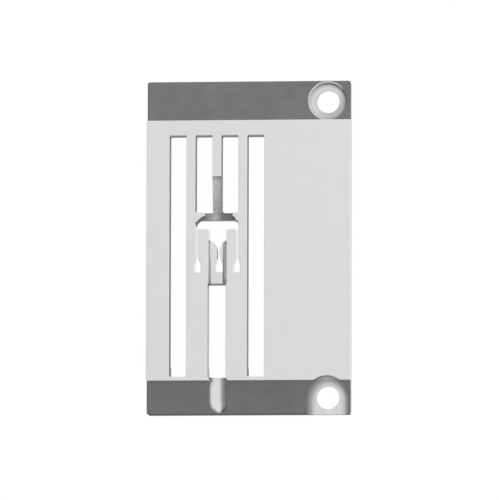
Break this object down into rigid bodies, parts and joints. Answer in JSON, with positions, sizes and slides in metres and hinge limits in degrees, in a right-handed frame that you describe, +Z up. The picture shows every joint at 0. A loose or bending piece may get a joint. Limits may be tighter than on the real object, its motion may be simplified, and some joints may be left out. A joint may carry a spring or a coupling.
{
  "type": "sewing machine needle plate",
  "caption": "Flat stepped steel needle plate with feed slots, drop-shaped needle holes beside slim tongues, a low crosspiece and recessed screw seats on its end ledges.",
  "frame": {"origin": "middle of the plate's outline, on its flat underside", "axes": "+X across the plate towards the screw holes, +Y along the feed slots towards the ledge with the round screw seat, +Z up out of the sewing face"},
  "size_m": [0.033, 0.054, 0.004],
  "materials": {
    "steel": "satin ground sewing face, darker ground ledges, bright milled recesses"
  },
  "bodies": {
    "root": {"needle_plate": "steel"}
  },
  "joints": []
}
